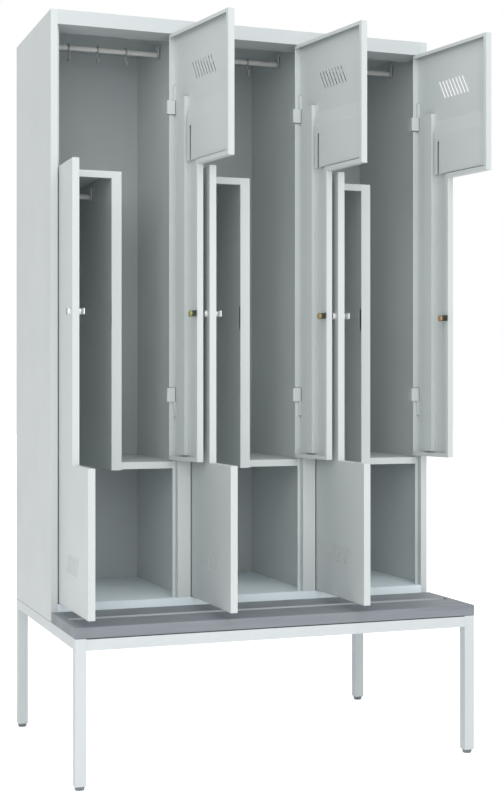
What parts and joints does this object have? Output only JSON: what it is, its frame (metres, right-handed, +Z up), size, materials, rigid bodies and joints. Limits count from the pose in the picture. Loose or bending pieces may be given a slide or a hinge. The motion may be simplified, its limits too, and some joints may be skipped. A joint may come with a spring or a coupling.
{
  "type": "z locker on a bench stand",
  "caption": "Bank of tall sheet-steel lockers with interlocking L-shaped doors standing open, coat rails and hooks inside, on a tube stand with a bench board in front.",
  "frame": {"origin": "on the floor, at the centre of the rectangle around the four legs", "axes": "+Z up, -Y the side with the doors and the bench, +X to the right for someone facing the doors"},
  "size_m": [1.2388, 0.844, 2.16],
  "materials": {
    "locker_paint": "smooth satin powder coat, light grey",
    "stand_paint": "smooth satin powder coat, light grey",
    "bench_board": "matt grey boards with eased edges",
    "plated_steel": "bright zinc plate",
    "lock_chrome": "polished",
    "lock_brass": "turned brass",
    "foot_plastic": "moulded grey plastic"
  },
  "bodies": {
    "cabinet": {"side_panel_left": "locker_paint", "side_panel_right": "locker_paint", "back_panel": "locker_paint", "top_cover": "locker_paint", "floor_panel": "locker_paint", "column_wall_1": "locker_paint", "column_wall_2": "locker_paint", "divider_1": "locker_paint", "box_top_1": "locker_paint", "shelf_1": "locker_paint", "divider_2": "locker_paint", "box_top_2": "locker_paint", "shelf_2": "locker_paint", "divider_3": "locker_paint", "box_top_3": "locker_paint", "shelf_3": "locker_paint", "coat_rails_upper": "plated_steel", "coat_rails_lower": "plated_steel", "rail_sockets": "locker_paint", "stand_side_left": "stand_paint", "stand_side_right": "stand_paint", "stand_rails": "stand_paint", "bench_board": "bench_board", "stand_feet": "foot_plastic", "bench_screws": "plated_steel", "hinge_blocks": "locker_paint", "hinge_pins": "plated_steel"},
    "door_upper_1": {"door_upper_1_pan": "locker_paint", "door_upper_1_stiffener": "locker_paint", "door_upper_1_lock_body": "lock_chrome"},
    "lock_cam_upper_1": {"door_upper_1_lock_cam": "lock_brass"},
    "door_upper_2": {"door_upper_2_pan": "locker_paint", "door_upper_2_stiffener": "locker_paint", "door_upper_2_lock_body": "lock_chrome"},
    "lock_cam_upper_2": {"door_upper_2_lock_cam": "lock_brass"},
    "door_upper_3": {"door_upper_3_pan": "locker_paint", "door_upper_3_stiffener": "locker_paint", "door_upper_3_lock_body": "lock_chrome"},
    "lock_cam_upper_3": {"door_upper_3_lock_cam": "lock_brass"},
    "door_lower_1": {"door_lower_1_pan": "locker_paint", "door_lower_1_stiffener": "locker_paint", "door_lower_1_lock_body": "lock_chrome"},
    "lock_cam_lower_1": {"door_lower_1_lock_cam": "lock_chrome"},
    "door_lower_2": {"door_lower_2_pan": "locker_paint", "door_lower_2_stiffener": "locker_paint", "door_lower_2_lock_body": "lock_chrome"},
    "lock_cam_lower_2": {"door_lower_2_lock_cam": "lock_chrome"},
    "door_lower_3": {"door_lower_3_pan": "locker_paint", "door_lower_3_stiffener": "locker_paint", "door_lower_3_lock_body": "lock_chrome"},
    "lock_cam_lower_3": {"door_lower_3_lock_cam": "lock_chrome"},
    "coat_hook_1_1": {"coat_hook_1_1": "plated_steel"},
    "coat_hook_1_2": {"coat_hook_1_2": "plated_steel"},
    "coat_hook_1_3": {"coat_hook_1_3": "plated_steel"},
    "coat_hook_2_1": {"coat_hook_2_1": "plated_steel"},
    "coat_hook_2_2": {"coat_hook_2_2": "plated_steel"},
    "coat_hook_2_3": {"coat_hook_2_3": "plated_steel"},
    "coat_hook_3_1": {"coat_hook_3_1": "plated_steel"},
    "coat_hook_3_2": {"coat_hook_3_2": "plated_steel"},
    "coat_hook_3_3": {"coat_hook_3_3": "plated_steel"}
  },
  "joints": [
    {"name": "door_upper_1_hinge", "type": "hinge", "parent": "cabinet", "child": "door_upper_1", "pos_m": [-0.2285, -0.095, 1.2875], "axis": [0, 0, 1], "range_deg": [-100, 0.5]},
    {"name": "lock_cam_upper_1_turn", "type": "hinge", "parent": "door_upper_1", "child": "lock_cam_upper_1", "pos_m": [-0.19892, -0.23397, 1.2875], "axis": [-0.9848, -0.1736, 0], "range_deg": [0, 180]},
    {"name": "door_upper_2_hinge", "type": "hinge", "parent": "cabinet", "child": "door_upper_2", "pos_m": [0.1715, -0.095, 1.2875], "axis": [0, 0, 1], "range_deg": [-100, 0.5]},
    {"name": "lock_cam_upper_2_turn", "type": "hinge", "parent": "door_upper_2", "child": "lock_cam_upper_2", "pos_m": [0.20108, -0.23397, 1.2875], "axis": [-0.9848, -0.1736, 0], "range_deg": [0, 180]},
    {"name": "door_upper_3_hinge", "type": "hinge", "parent": "cabinet", "child": "door_upper_3", "pos_m": [0.5715, -0.095, 1.2875], "axis": [0, 0, 1], "range_deg": [-100, 15]},
    {"name": "lock_cam_upper_3_turn", "type": "hinge", "parent": "door_upper_3", "child": "lock_cam_upper_3", "pos_m": [0.60108, -0.23397, 1.2875], "axis": [-0.9848, -0.1736, 0], "range_deg": [0, 180]},
    {"name": "door_lower_1_hinge", "type": "hinge", "parent": "cabinet", "child": "door_lower_1", "pos_m": [-0.5715, -0.095, 1.2875], "axis": [0, 0, -1], "range_deg": [-90, 25]},
    {"name": "lock_cam_lower_1_turn", "type": "hinge", "parent": "door_lower_1", "child": "lock_cam_lower_1", "pos_m": [-0.5765, -0.237, 1.2875], "axis": [1, 0, 0], "range_deg": [0, 180]},
    {"name": "door_lower_2_hinge", "type": "hinge", "parent": "cabinet", "child": "door_lower_2", "pos_m": [-0.1715, -0.095, 1.2875], "axis": [0, 0, -1], "range_deg": [-90, 0.5]},
    {"name": "lock_cam_lower_2_turn", "type": "hinge", "parent": "door_lower_2", "child": "lock_cam_lower_2", "pos_m": [-0.1765, -0.237, 1.2875], "axis": [1, 0, 0], "range_deg": [0, 180]},
    {"name": "door_lower_3_hinge", "type": "hinge", "parent": "cabinet", "child": "door_lower_3", "pos_m": [0.2285, -0.095, 1.2875], "axis": [0, 0, -1], "range_deg": [-90, 0.5]},
    {"name": "lock_cam_lower_3_turn", "type": "hinge", "parent": "door_lower_3", "child": "lock_cam_lower_3", "pos_m": [0.2235, -0.237, 1.2875], "axis": [1, 0, 0], "range_deg": [0, 180]},
    {"name": "coat_hook_1_1_slide", "type": "slide", "parent": "cabinet", "child": "coat_hook_1_1", "axis": [1, 0, 0], "range_m": [-0.085, 0.04]},
    {"name": "coat_hook_1_2_slide", "type": "slide", "parent": "cabinet", "child": "coat_hook_1_2", "axis": [1, 0, 0], "range_m": [-0.04, 0.04]},
    {"name": "coat_hook_1_3_slide", "type": "slide", "parent": "cabinet", "child": "coat_hook_1_3", "axis": [1, 0, 0], "range_m": [-0.04, 0.085]},
    {"name": "coat_hook_2_1_slide", "type": "slide", "parent": "cabinet", "child": "coat_hook_2_1", "axis": [1, 0, 0], "range_m": [-0.085, 0.04]},
    {"name": "coat_hook_2_2_slide", "type": "slide", "parent": "cabinet", "child": "coat_hook_2_2", "axis": [1, 0, 0], "range_m": [-0.04, 0.04]},
    {"name": "coat_hook_2_3_slide", "type": "slide", "parent": "cabinet", "child": "coat_hook_2_3", "axis": [1, 0, 0], "range_m": [-0.04, 0.085]},
    {"name": "coat_hook_3_1_slide", "type": "slide", "parent": "cabinet", "child": "coat_hook_3_1", "axis": [1, 0, 0], "range_m": [-0.085, 0.04]},
    {"name": "coat_hook_3_2_slide", "type": "slide", "parent": "cabinet", "child": "coat_hook_3_2", "axis": [1, 0, 0], "range_m": [-0.04, 0.04]},
    {"name": "coat_hook_3_3_slide", "type": "slide", "parent": "cabinet", "child": "coat_hook_3_3", "axis": [1, 0, 0], "range_m": [-0.04, 0.085]}
  ]
}
